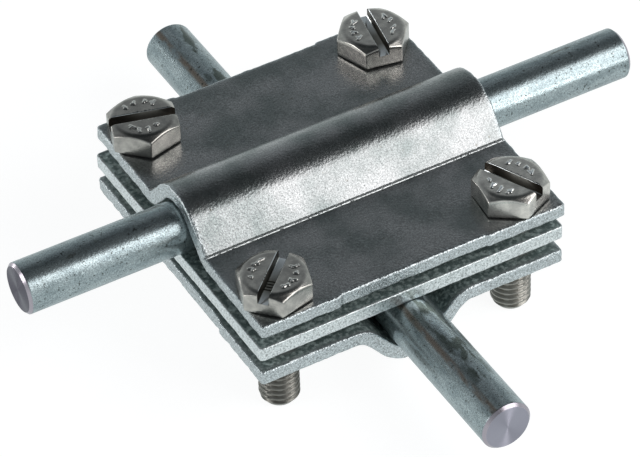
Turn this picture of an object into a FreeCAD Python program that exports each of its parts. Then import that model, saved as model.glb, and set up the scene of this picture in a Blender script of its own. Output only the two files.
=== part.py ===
import FreeCAD, Part
import math
import os

from FreeCAD import Vector

# Cross connector clamp for two round conductors that cross at a right angle.
# Millimetres, +Z up. The origin is below the crossing, in the plane that the lowest bolt ends
# stand on. +X runs along the upper conductor and +Y along the lower one.

# The three square plates
PLATE_SIDE = 65.0
PLATE_T = 3.0
PLATE_CORNER_R = 0.8
EDGE_BREAK = 0.3

# The groove pressed into the upper and the lower plate. The lower plate's is pressed deeper, with
# softer bends.
GROOVE_R = 5.9
GROOVE_LEG_DEG = 50.0
UPPER_GROOVE_DEPTH = 7.85
UPPER_BEND_R = 1.0
LOWER_GROOVE_DEPTH = 8.25
LOWER_BEND_R = 4.0

# Pressing the groove draws the plate's two long edges in a little beside it
DRAW_IN_DEPTH = 0.4
DRAW_IN_LENGTH = 32.0
DRAW_IN_STEP = 0.7

# The two round conductors: zinc-coated steel rod cut to length, with turned chamfers
CONDUCTOR_D = 10.2
CONDUCTOR_CHAMFER = 0.6
UPPER_CONDUCTOR_L = 130.4
UPPER_CONDUCTOR_SHIFT = 0.4
UPPER_CONDUCTOR_ASIDE = 0.25
LOWER_CONDUCTOR_L = 129.6
LOWER_CONDUCTOR_SHIFT = -0.9
LOWER_CONDUCTOR_ASIDE = 0.4

# The four slotted hexagon bolts, M8 x 25, threaded to the head. The head's top is a round disc
# with a rounded rim, and below it a cone cuts the hexagon's corners.
BOLT_TO_EDGE = 7.25
BOLT_D = 7.8
BOLT_LENGTH = 26.0
BOLT_POINT_D = 5.8
BOLT_POINT_L = 1.3
HEAD_FLATS = 12.9
HEAD_HEIGHT = 4.9
HEAD_TOP_D = 12.3
HEAD_RIM_WIDTH = 0.65
HEAD_RIM_DROP = 0.25
HEAD_CHAMFER_DEG = 27.0
SLOT_WIDTH = 2.2
SLOT_DEPTH = 2.2
CLEARANCE_HOLE_D = 9.0

# Each head stopped at its own angle: the direction of its slot, from +X towards +Y
SLOT_TURNS_DEG = {
    "bolt_left": 164.0,
    "bolt_front": 43.0,
    "bolt_right": 115.0,
    "bolt_back": 79.5,
}
# The corner of the clamp that each bolt stands in, as signs of X and Y
BOLT_CORNERS = {
    "bolt_left": (-1, 1),
    "bolt_front": (-1, -1),
    "bolt_right": (1, -1),
    "bolt_back": (1, 1),
}

# Fits. The bolts are only hand-tight, so the upper plate leans about the upper conductor,
# down at the front bolts and up at the back ones, and has slipped along X in its bolt holes.
UPPER_LEAN_DEG = 1.5
UPPER_PLATE_SLIP = 0.5
CONDUCTOR_SEAT_GAP = 0.05
GROOVE_GAP = 0.55
THREAD_GAP = 0.05
HEAD_SEAT_GAP = 0.02

# Where the bolts stand, and the hexagon's reach across its corners
bolt_place = PLATE_SIDE / 2 - BOLT_TO_EDGE
head_corner_r = HEAD_FLATS / 2 / math.cos(math.pi / 6)

# Heights above the middle plate's mid-plane
conductor_axis = PLATE_T / 2 + CONDUCTOR_SEAT_GAP + CONDUCTOR_D / 2
groove_top = conductor_axis + CONDUCTOR_D / 2 + GROOVE_GAP
flange_underside = groove_top - UPPER_GROOVE_DEPTH
flange_top = flange_underside + PLATE_T
lean = math.radians(UPPER_LEAN_DEG)


def head_seat(side):
    """Height of a head's underside: on the leaning flange, at the high side of the hexagon."""
    flange_here = conductor_axis + (flange_top - conductor_axis) / math.cos(lean)
    return flange_here + (side * bolt_place + head_corner_r) * math.tan(lean) + HEAD_SEAT_GAP


# The clamp stands on its front bolts' ends
MIDDLE_Z = BOLT_LENGTH - head_seat(-1)


def square_outline():
    """Face of the blank: a square with rounded corners."""
    half = PLATE_SIDE / 2
    square = Part.makePlane(PLATE_SIDE, PLATE_SIDE, Vector(-half, -half, 0))
    prism = square.extrude(Vector(0, 0, 1))
    upright = [e for e in prism.Edges if abs(e.tangentAt(e.FirstParameter).z) > 0.99]
    rounded = prism.makeFillet(PLATE_CORNER_R, upright)
    return next(f for f in rounded.Faces if f.CenterOfMass.z < 1e-6)


def draw_in(side):
    """Sliver that the drawn-in edge lacks, on the plate's edge at +Y or -Y."""
    edge = side * PLATE_SIDE / 2
    floor = edge - side * DRAW_IN_DEPTH
    beyond = edge + side
    long_half = DRAW_IN_LENGTH / 2
    short_half = long_half - DRAW_IN_STEP
    points = [
        Vector(-long_half, edge, 0),
        Vector(-short_half, floor, 0),
        Vector(short_half, floor, 0),
        Vector(long_half, edge, 0),
        Vector(long_half, beyond, 0),
        Vector(-long_half, beyond, 0),
    ]
    return Part.Face(Part.makePolygon(points + points[:1]))


def groove_section(depth, bend_r):
    """Section of a grooved plate across the groove, in YZ, with the flanges' underside at z = 0.

    Flat flange, bend, straight leg, round crown and back down, one thickness all the way.
    """
    leg = math.radians(GROOVE_LEG_DEG)
    across, up = math.sin(leg), math.cos(leg)
    crown_z = depth - GROOVE_R
    outer_r = GROOVE_R + PLATE_T
    bend_z = PLATE_T + bend_r
    bend_y = (outer_r + bend_r + (crown_z - bend_z) * up) / across

    def crown(radius, turn):
        return Vector(0, radius * math.sin(turn), crown_z + radius * math.cos(turn))

    def bend(side, radius, turn):
        return Vector(
            0, side * (bend_y - radius * math.sin(turn)), bend_z - radius * math.cos(turn)
        )

    def surface(crown_r, foot_r, flange_z):
        """Edges from the flange end at -Y to the one at +Y."""
        half = PLATE_SIDE / 2
        left_end = Vector(0, -half, flange_z)
        right_end = Vector(0, half, flange_z)
        return [
            Part.makeLine(left_end, bend(-1, foot_r, 0)),
            Part.Arc(
                bend(-1, foot_r, 0), bend(-1, foot_r, leg / 2), bend(-1, foot_r, leg)
            ).toShape(),
            Part.makeLine(bend(-1, foot_r, leg), crown(crown_r, -leg)),
            Part.Arc(crown(crown_r, -leg), crown(crown_r, 0), crown(crown_r, leg)).toShape(),
            Part.makeLine(crown(crown_r, leg), bend(1, foot_r, leg)),
            Part.Arc(
                bend(1, foot_r, leg), bend(1, foot_r, leg / 2), bend(1, foot_r, 0)
            ).toShape(),
            Part.makeLine(bend(1, foot_r, 0), right_end),
        ]

    inner = surface(GROOVE_R, bend_r + PLATE_T, 0)
    outer = surface(outer_r, bend_r, PLATE_T)
    ends = [
        Part.makeLine(Vector(0, s * PLATE_SIDE / 2, 0), Vector(0, s * PLATE_SIDE / 2, PLATE_T))
        for s in (-1, 1)
    ]
    return Part.Face(Part.Wire(Part.__sortEdges__(inner + outer + ends)))


def bolt_holes(diameter, height):
    """Upright cylinders at the four bolt places, about z = 0."""
    return [
        Part.makeCylinder(
            diameter / 2, height, Vector(sx * bolt_place, sy * bolt_place, -height / 2)
        )
        for sx, sy in BOLT_CORNERS.values()
    ]


def outline_edges(plate):
    """Sharp edges round the plate's outline: where its faces meet the cut sides."""
    half = PLATE_SIDE / 2

    def on_side(face):
        middle = face.CenterOfMass
        near = max(abs(middle.x), abs(middle.y)) > half - DRAW_IN_DEPTH - PLATE_CORNER_R
        normal = face.normalAt(*[sum(face.ParameterRange[i : i + 2]) / 2 for i in (0, 2)])
        return near and abs(normal.z) < 0.01

    sides = [face for face in plate.Faces if on_side(face)]
    others = [face for face in plate.Faces if not on_side(face)]
    return [
        edge
        for edge in plate.Edges
        if any(edge.isSame(e) for f in sides for e in f.Edges)
        and any(edge.isSame(e) for f in others for e in f.Edges)
    ]


def grooved_plate(depth, bend_r, hole_d):
    """Plate with the groove along X and open downwards, flange underside at z = 0."""
    half = PLATE_SIDE / 2
    section = groove_section(depth, bend_r)
    section.translate(Vector(-half, 0, 0))
    sheet = section.extrude(Vector(PLATE_SIDE, 0, 0))
    tall = 4 * depth
    outline = square_outline().extrude(Vector(0, 0, tall))
    outline = outline.cut([draw_in(s).extrude(Vector(0, 0, tall)) for s in (-1, 1)])
    outline.translate(Vector(0, 0, -tall / 2))
    plate = sheet.common(outline)
    plate = plate.makeChamfer(EDGE_BREAK, outline_edges(plate))
    return plate.cut(bolt_holes(hole_d, tall))


def flat_plate(hole_d):
    """Flat plate about z = 0."""
    plate = square_outline().extrude(Vector(0, 0, PLATE_T))
    plate.translate(Vector(0, 0, -PLATE_T / 2))
    plate = plate.makeChamfer(EDGE_BREAK, outline_edges(plate))
    return plate.cut(bolt_holes(hole_d, 2 * PLATE_T))


def upper_plate():
    """Grooved plate over the upper conductor, leaning and slipped in its bolt holes."""
    plate = grooved_plate(UPPER_GROOVE_DEPTH, UPPER_BEND_R, CLEARANCE_HOLE_D)
    plate.translate(Vector(UPPER_PLATE_SLIP, 0, MIDDLE_Z + flange_underside))
    plate.rotate(Vector(0, 0, MIDDLE_Z + conductor_axis), Vector(1, 0, 0), UPPER_LEAN_DEG)
    return plate


def lower_plate():
    """Grooved plate upside down and a quarter turn round, with tapped holes."""
    plate = grooved_plate(LOWER_GROOVE_DEPTH, LOWER_BEND_R, BOLT_D + 2 * THREAD_GAP)
    plate.rotate(Vector(0, 0, 0), Vector(1, 0, 0), 180)
    plate.rotate(Vector(0, 0, 0), Vector(0, 0, 1), 90)
    plate.translate(Vector(0, 0, MIDDLE_Z - flange_underside))
    return plate


def middle_plate():
    """Flat plate that keeps the two conductors apart."""
    plate = flat_plate(CLEARANCE_HOLE_D)
    plate.translate(Vector(0, 0, MIDDLE_Z))
    return plate


def conductor(length, shift):
    """Round rod along X with a turned chamfer at each end."""
    rod = Part.makeCylinder(
        CONDUCTOR_D / 2, length, Vector(shift - length / 2, 0, 0), Vector(1, 0, 0)
    )
    rims = [e for e in rod.Edges if isinstance(e.Curve, Part.Circle)]
    return rod.makeChamfer(CONDUCTOR_CHAMFER, rims)


def upper_conductor():
    """Rod along X on the middle plate, a little behind the middle of the upper groove."""
    rod = conductor(UPPER_CONDUCTOR_L, UPPER_CONDUCTOR_SHIFT)
    rod.translate(Vector(0, UPPER_CONDUCTOR_ASIDE, MIDDLE_Z + conductor_axis))
    return rod


def lower_conductor():
    """Rod along Y under the middle plate, a little left of the middle of the lower groove."""
    rod = conductor(LOWER_CONDUCTOR_L, LOWER_CONDUCTOR_SHIFT)
    rod.rotate(Vector(0, 0, 0), Vector(0, 0, 1), 90)
    rod.translate(Vector(-LOWER_CONDUCTOR_ASIDE, 0, MIDDLE_Z - conductor_axis))
    return rod


def hexagon_head():
    """Head standing on z = 0 with its slot along X, from one flat across to the opposite one."""
    corners = [
        Vector(head_corner_r * math.cos(a), head_corner_r * math.sin(a), 0)
        for a in [math.radians(30 + 60 * i) for i in range(7)]
    ]
    prism = Part.Face(Part.makePolygon(corners)).extrude(Vector(0, 0, HEAD_HEIGHT))
    top_r = HEAD_TOP_D / 2
    rim_z = HEAD_HEIGHT - HEAD_RIM_DROP
    rim_r = (HEAD_RIM_WIDTH**2 + HEAD_RIM_DROP**2) / (2 * HEAD_RIM_DROP)
    half_turn = math.atan(HEAD_RIM_DROP / HEAD_RIM_WIDTH)
    rim = [
        Vector(top_r, 0, rim_z),
        Vector(
            top_r - HEAD_RIM_WIDTH + rim_r * math.sin(half_turn),
            0,
            HEAD_HEIGHT - rim_r * (1 - math.cos(half_turn)),
        ),
        Vector(top_r - HEAD_RIM_WIDTH, 0, HEAD_HEIGHT),
    ]
    blank_r = 1.5 * head_corner_r
    drop = (blank_r - top_r) * math.tan(math.radians(HEAD_CHAMFER_DEG))
    rest = [
        rim[2],
        Vector(0, 0, HEAD_HEIGHT),
        Vector(0, 0, 0),
        Vector(blank_r, 0, 0),
        Vector(blank_r, 0, rim_z - drop),
        rim[0],
    ]
    edges = Part.makePolygon(rest).Edges + [Part.Arc(*rim).toShape()]
    blank = Part.Face(Part.Wire(Part.__sortEdges__(edges)))
    blank = blank.revolve(Vector(0, 0, 0), Vector(0, 0, 1), 360)
    slot = Part.makeBox(
        2 * blank_r,
        SLOT_WIDTH,
        2 * SLOT_DEPTH,
        Vector(-blank_r, -SLOT_WIDTH / 2, HEAD_HEIGHT - SLOT_DEPTH),
    )
    return prism.common(blank).cut(slot)


def bolt(name):
    """Slotted hexagon bolt, head on the upper plate and end below the lower one."""
    sx, sy = BOLT_CORNERS[name]
    point_end = Vector(0, 0, -BOLT_LENGTH)
    point = Part.makeCone(BOLT_POINT_D / 2, BOLT_D / 2, BOLT_POINT_L, point_end)
    shank_end = Vector(0, 0, BOLT_POINT_L - BOLT_LENGTH)
    shank = Part.makeCylinder(BOLT_D / 2, BOLT_LENGTH - BOLT_POINT_L, shank_end)
    whole = shank.fuse([point, hexagon_head()]).removeSplitter()
    whole.rotate(Vector(0, 0, 0), Vector(0, 0, 1), SLOT_TURNS_DEG[name])
    whole.translate(Vector(sx * bolt_place, sy * bolt_place, MIDDLE_Z + head_seat(sy)))
    return whole


def main():
    pieces = {
        "lower_plate": lower_plate(),
        "middle_plate": middle_plate(),
        "upper_plate": upper_plate(),
        "lower_conductor": lower_conductor(),
        "upper_conductor": upper_conductor(),
    }
    pieces.update({name: bolt(name) for name in BOLT_CORNERS})
    os.makedirs("parts", exist_ok=True)
    for name, shape in pieces.items():
        solid = shape.Solids[0]
        print(name, len(shape.Solids), solid.isValid(), round(solid.Volume, 1), solid.BoundBox)
        solid.exportStep(f"parts/{name}.step")


main()
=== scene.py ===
import math

import bpy
import numpy as np
from mathutils import Matrix, Vector


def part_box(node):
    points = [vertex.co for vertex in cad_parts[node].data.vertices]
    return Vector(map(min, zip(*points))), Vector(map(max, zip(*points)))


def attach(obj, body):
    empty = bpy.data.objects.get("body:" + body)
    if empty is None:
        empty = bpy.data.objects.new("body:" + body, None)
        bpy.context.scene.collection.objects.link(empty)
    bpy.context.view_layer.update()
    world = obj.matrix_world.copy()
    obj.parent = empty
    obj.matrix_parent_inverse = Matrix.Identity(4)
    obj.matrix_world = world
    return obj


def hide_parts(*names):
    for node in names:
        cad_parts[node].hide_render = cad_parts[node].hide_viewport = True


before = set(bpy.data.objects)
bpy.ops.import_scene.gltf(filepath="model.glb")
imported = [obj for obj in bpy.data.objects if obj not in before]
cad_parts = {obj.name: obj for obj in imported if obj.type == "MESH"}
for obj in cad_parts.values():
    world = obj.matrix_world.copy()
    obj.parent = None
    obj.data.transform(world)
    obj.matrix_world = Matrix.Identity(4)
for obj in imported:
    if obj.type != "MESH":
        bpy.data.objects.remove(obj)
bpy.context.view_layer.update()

# Camera. It stands where the photograph's did: looking down on the clamp's front left corner from
# 0.76 m with a long lens, rolled a little to the left.
MM = 0.001
VIEW_AZIMUTH = math.radians(-118.283)
VIEW_ELEVATION = math.radians(41.341)
VIEW_ROLL = math.radians(-2.327)
VIEW_DISTANCE = 758.474 * MM
middle_low, middle_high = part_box("middle_plate")
VIEW_TARGET = Vector((-5.819 * MM, -7.593 * MM, (middle_low.z + middle_high.z) / 2))
IMAGE_WIDTH = 640
FOCAL_LENGTH_PIXELS = 4038.9
CLIP_START = 10 * MM


def outward(azimuth, elevation):
    """Unit vector towards a direction: azimuth from +X towards +Y, elevation above the floor."""
    level = math.cos(elevation)
    return Vector((math.cos(azimuth) * level, math.sin(azimuth) * level, math.sin(elevation)))


back = outward(VIEW_AZIMUTH, VIEW_ELEVATION)
level = outward(VIEW_AZIMUTH + math.pi / 2, 0)
upright = back.cross(level)
right = level * math.cos(VIEW_ROLL) + upright * math.sin(VIEW_ROLL)
up = upright * math.cos(VIEW_ROLL) - level * math.sin(VIEW_ROLL)
turn = Matrix((right, up, back)).transposed().to_4x4()

camera_data = bpy.data.cameras.new("camera")
camera = bpy.data.objects.new("camera", camera_data)
bpy.context.scene.collection.objects.link(camera)
camera.matrix_world = Matrix.Translation(VIEW_TARGET + back * VIEW_DISTANCE) @ turn
camera_data.sensor_fit = "HORIZONTAL"
camera_data.lens = FOCAL_LENGTH_PIXELS / IMAGE_WIDTH * camera_data.sensor_width
camera_data.clip_start = CLIP_START
bpy.context.scene.camera = camera
bpy.context.scene.view_settings.view_transform = "Standard"


# Floor and light. A white table under the clamp, a large soft lamp in front to the right, a dim one
# to the left, two low strips, and a studio that darkens from pale walls to its ceiling, which the
# dark top faces mirror. The camera sees white all round.
FLOOR_SIZE = 6.0
FLOOR_COLOUR = "F4F5F6"
FLOOR_MIRRORED = "DCE4E5"
FLOOR_WHITE_SHARE = 0.7
FLOOR_WHITE = 1.28
FLOOR_MIRROR_SHARE = 0.9
WHITE = (1, 1, 1, 1)
# Heights as the sine of the elevation, with the studio's colour there
STUDIO = [(0.0, "CFD6D7"), (0.2, "BCC4C6"), (0.4, "9DA6A8"), (0.66, "868C90"), (0.9, "22282B")]
# Azimuth and elevation in degrees, distance, width and height in metres, and power in watts
LAMPS = {
    "front_softbox": (-48, 35, 0.9, 0.75, 0.6, 3.25),
    "left_fill": (170, 25, 1.2, 0.5, 0.4, 2.0),
    "front_strip": (-62, 5, 0.9, 0.1, 0.3, 0.5),
    "back_strip": (118, 5, 0.9, 0.1, 0.3, 0.5),
}


def srgb(code):
    """Linear colour of an sRGB hex code: each channel under 0.04 over 12.92, and the others plus
    0.055, over 1.055, to the power 2.4."""
    levels = np.array([int(code[i : i + 2], 16) / 255 for i in (0, 2, 4)])
    linear = np.where(levels < 0.04045, levels / 12.92, ((levels + 0.055) / 1.055) ** 2.4)
    return (*linear.tolist(), 1.0)


def add(tree, kind, inputs={}, stops=(), **settings):
    """Adds a node to a tree, with its settings, its inputs as values or links, and the stops of a
    colour ramp as pairs of a position and a hex code."""
    node = tree.nodes.new(kind)
    for key, value in settings.items():
        setattr(node, key, value)
    for key, value in inputs.items():
        if isinstance(value, bpy.types.NodeSocket):
            tree.links.new(value, node.inputs[key])
        else:
            node.inputs[key].default_value = value
    for i, (place, code) in enumerate(stops):
        stop = node.color_ramp.elements[i] if i < 2 else node.color_ramp.elements.new(place)
        stop.position = place
        stop.color = srgb(code)
    return node


def new_material(name):
    """A material with an empty node tree, and that tree."""
    material = bpy.data.materials.new(name)
    material.use_nodes = True
    material.node_tree.nodes.clear()
    return material, material.node_tree


world = bpy.data.worlds.new("studio")
world.use_nodes = True
bpy.context.scene.world = world
tree = world.node_tree
tree.nodes.clear()
direction = add(tree, "ShaderNodeTexCoord").outputs["Generated"]
height = add(tree, "ShaderNodeSeparateXYZ", {"Vector": direction}).outputs["Z"]
walls = add(tree, "ShaderNodeValToRGB", {"Fac": height}, stops=STUDIO)
seen = add(tree, "ShaderNodeLightPath").outputs["Is Camera Ray"]
backdrop = add(tree, "ShaderNodeBackground", {"Color": WHITE})
dome = add(tree, "ShaderNodeBackground", {"Color": walls.outputs["Color"]})
shown = add(tree, "ShaderNodeMixShader", {0: seen, 1: dome.outputs[0], 2: backdrop.outputs[0]})
add(tree, "ShaderNodeOutputWorld", {"Surface": shown.outputs[0]})

# White paper: matt under the lamps, nearly white to the camera and pale blue in the metal
paper, tree = new_material("white_paper")
seen = add(tree, "ShaderNodeLightPath").outputs["Is Camera Ray"]
matt = add(tree, "ShaderNodeBsdfDiffuse", {"Color": srgb(FLOOR_COLOUR)})
white = add(tree, "ShaderNodeEmission", {"Color": WHITE, "Strength": FLOOR_WHITE})
mirrored = add(tree, "ShaderNodeEmission", {"Color": srgb(FLOOR_MIRRORED)})
to_camera = add(
    tree, "ShaderNodeMixShader", {0: FLOOR_WHITE_SHARE, 1: matt.outputs[0], 2: white.outputs[0]}
)
to_metal = add(
    tree, "ShaderNodeMixShader", {0: FLOOR_MIRROR_SHARE, 1: matt.outputs[0], 2: mirrored.outputs[0]}
)
mixed = add(tree, "ShaderNodeMixShader", {0: seen, 1: to_metal.outputs[0], 2: to_camera.outputs[0]})
add(tree, "ShaderNodeOutputMaterial", {"Surface": mixed.outputs[0]})

reach = FLOOR_SIZE / 2
corners = [(-reach, -reach, 0), (reach, -reach, 0), (reach, reach, 0), (-reach, reach, 0)]
floor_mesh = bpy.data.meshes.new("floor")
floor_mesh.from_pydata(corners, [], [(0, 1, 2, 3)])
floor_mesh.materials.append(paper)
floor = bpy.data.objects.new("floor", floor_mesh)
bpy.context.scene.collection.objects.link(floor)

for name, (azimuth, elevation, distance, width, height, power) in LAMPS.items():
    lamp = bpy.data.lights.new(name, "AREA")
    lamp.shape = "RECTANGLE"
    lamp.size, lamp.size_y, lamp.energy = width, height, power
    holder = bpy.data.objects.new(name, lamp)
    bpy.context.scene.collection.objects.link(holder)
    out = outward(math.radians(azimuth), math.radians(elevation))
    facing = out.to_track_quat("Z", "Y").to_matrix().to_4x4()
    holder.matrix_world = Matrix.Translation(VIEW_TARGET + out * distance) @ facing


# Lower plate. A square blanked from 3 mm steel sheet with a round groove pressed across it, then
# hot-dip galvanised. It lies with the groove hanging round the lower conductor, and its four
# tapped holes hold the bolts.
lower_low, lower_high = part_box("lower_plate")
bolt_low, bolt_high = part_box("bolt_back")
PLATE_SIDE = middle_high.x - middle_low.x
PLATE_T = middle_high.z - middle_low.z
PLATE_CORNER_R = 0.8 * MM
SHEARED_EDGE_R = 0.45 * MM
GROOVE_R = 5.9 * MM + PLATE_T / 2
GROOVE_LEG = math.radians(50)
LOWER_GROOVE_DEPTH = lower_high.z - lower_low.z - PLATE_T
LOWER_BEND_R = 4.0 * MM + PLATE_T / 2
DRAW_IN_DEPTH = 0.4 * MM
DRAW_IN_LENGTH = 32.0 * MM
DRAW_IN_STEP = 0.7 * MM
TAPPED_HOLE_R = 3.95 * MM
# The bead of white ash along the end of a bend, on the flange and up the bend
CREASE_WIDTH = 0.25 * MM
CREASE_IN_BEND = 1.6 * MM
CREASE_HEIGHT = 0.25 * MM
CREASE_LINES = 4
# The grid: half the square of its lines that closes round a hole, and the rows of an edge's wall
HOLE_BLOCK = 4.0 * MM
GRID_STEP = 0.38 * MM
CORNER_LINES = 9
WALL_ROWS = 8
# Lumps of the zinc coat, grain and tears of the sheared edges, and how far an edge's finish spreads
COAT_LUMP = 1.8 * MM
COAT_DEPTH = 0.006 * MM
SHEAR_GRAIN = 0.55 * MM
SHEAR_DEPTH = 0.1 * MM
TEAR_WIDTH = 1.5 * MM
TEAR_DEPTH = 0.11 * MM
TEAR_START = 0.45
TEAR_RAMP = 0.3
EDGE_SPREAD = 1.4

plate_half = PLATE_SIDE / 2
bolt_place = (bolt_low.x + bolt_high.x) / 2
hole_ring = plate_half - PLATE_CORNER_R - bolt_place
squeeze_start = bolt_place + HOLE_BLOCK


def smooth(t):
    """Ramp from 0 to 1 with level ends: three t squared less two t cubed."""
    t = np.clip(t, 0, 1)
    return t * t * (3 - 2 * t)


def value_noise(points, grain, seed):
    """Smooth random values from 0 to 1. Random numbers stand on a cubic lattice one grain wide,
    and a point takes a mix of the eight round it, weighted by its smoothed place between them."""
    cells = points / grain
    low = np.floor(cells).astype(int)
    share = smooth(cells - low)
    low -= low.min(0)
    lattice = np.random.default_rng(seed).random(tuple(low.max(0) + 2))
    total = np.zeros(len(points))
    for corner in np.ndindex(2, 2, 2):
        weight = np.where(np.array(corner) == 1, share, 1 - share).prod(1)
        total += weight * lattice[tuple((low + corner).T)]
    return total


def closed_band(rows):
    """Quads between rows of vertex numbers that each close on themselves. The rows go upwards when
    the band is walked anticlockwise seen from above, which makes the quads face outwards."""
    after = np.roll(rows, -1, axis=1)
    quads = [rows[:-1], after[:-1], after[1:], rows[1:]]
    return np.stack(quads, -1).reshape(-1, 4)


def outward_normals(verts, quads):
    """Unit normal at each vertex: the sum over its faces of the cross product of their diagonals,
    made one long."""
    a, b, c, d = verts[quads].transpose(1, 0, 2)
    face = np.cross(c - a, d - b)
    total = np.zeros_like(verts)
    for corner in quads.T:
        np.add.at(total, corner, face)
    return total / np.maximum(np.linalg.norm(total, axis=1, keepdims=True), 1e-20)


def make_piece(name, verts, quads, material, **marks):
    """Smooth mesh object from positions in metres and quads; one whose last two corners are the
    same vertex is a triangle. Vertices that no quad uses are left out. Each of the marks is an
    attribute for the material: a value from 0 to 1 at every vertex."""
    used, places = np.unique(quads, return_inverse=True)
    quads = places.reshape(quads.shape)
    closing = quads[:, 2] == quads[:, 3]
    faces = quads[~closing].tolist() + quads[closing, :3].tolist()
    mesh = bpy.data.meshes.new(name)
    mesh.from_pydata(verts[used].tolist(), [], faces)
    for key, values in marks.items():
        mesh.attributes.new(key, "FLOAT", "POINT").data.foreach_set("value", values[used])
    mesh.shade_smooth()
    mesh.materials.append(material)
    piece = bpy.data.objects.new(name, mesh)
    bpy.context.scene.collection.objects.link(piece)
    return piece


def spaced(knots, step):
    """Positions from the first knot to the last, about a step apart, with each knot among them."""
    pairs = list(zip(knots, knots[1:]))
    runs = [np.linspace(a, b, max(1, round((b - a) / step)), endpoint=False) for a, b in pairs]
    return np.concatenate(runs + [np.array(knots[-1:])])


def plate_stations(inner, extra):
    """Grid lines on both sides of a plate's centre: the inner knots, then even ones with the block
    round a bolt hole among them, then packed towards the edge as the sine of an even angle. The
    flange's lines are moved out by the extra length that a fold takes."""
    flange = [bolt_place + away for away in (-hole_ring, -HOLE_BLOCK, HOLE_BLOCK, hole_ring)]
    even = spaced(inner + [place + extra for place in flange], GRID_STEP)
    turn = np.linspace(0, math.pi / 2, CORNER_LINES + 1)[1:]
    edge = plate_half - PLATE_CORNER_R + PLATE_CORNER_R * np.sin(turn) + extra
    half = np.concatenate([even, edge])
    return np.concatenate([-half[:0:-1], half])


def flat_sheet(u):
    """Section of a flat plate: distance from the centre, height, lean and nearness of a crease at
    arc length u."""
    return np.abs(u), 0 * u, 0 * u, 0 * u


def folded_sheet(depth, bend_r):
    """Section of a groove's middle line by arc length u from its crown: crown arc, straight leg,
    bend arc and flat flange. It gives the distance from the centre, the height above the flange's
    middle, the lean, which is the angle still to turn back, and how near the crease at the bend's
    end is. Also gives the grid lines."""
    sine, cosine = math.sin(GROOVE_LEG), math.cos(GROOVE_LEG)
    crown_end = GROOVE_R * GROOVE_LEG
    leg_length = (depth - (GROOVE_R + bend_r) * (1 - cosine)) / sine
    leg_end = crown_end + leg_length
    fold_end = leg_end + bend_r * GROOVE_LEG

    def section(u):
        s = np.abs(u)
        crown = np.minimum(s, crown_end) / GROOVE_R
        leg = np.clip(s - crown_end, 0, leg_length)
        bend = GROOVE_LEG - np.clip(s - leg_end, 0, fold_end - leg_end) / bend_r
        out = GROOVE_R * np.sin(crown) + leg * cosine
        out = out + bend_r * (sine - np.sin(bend)) + np.maximum(s - fold_end, 0)
        height = depth - GROOVE_R * (1 - np.cos(crown)) - leg * sine
        height = height - bend_r * (np.cos(bend) - cosine)
        past = s - fold_end
        crease = 1 - np.abs(past) / np.where(past > 0, CREASE_WIDTH, CREASE_IN_BEND)
        return out, height, np.minimum(crown, bend), np.maximum(crease, 0)

    extra = fold_end - (GROOVE_R + bend_r) * sine - leg_length * cosine
    beside = [fold_end + CREASE_WIDTH * i for i in range(CREASE_LINES)]
    return section, plate_stations([0.0, crown_end, leg_end] + beside, extra)


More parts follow.
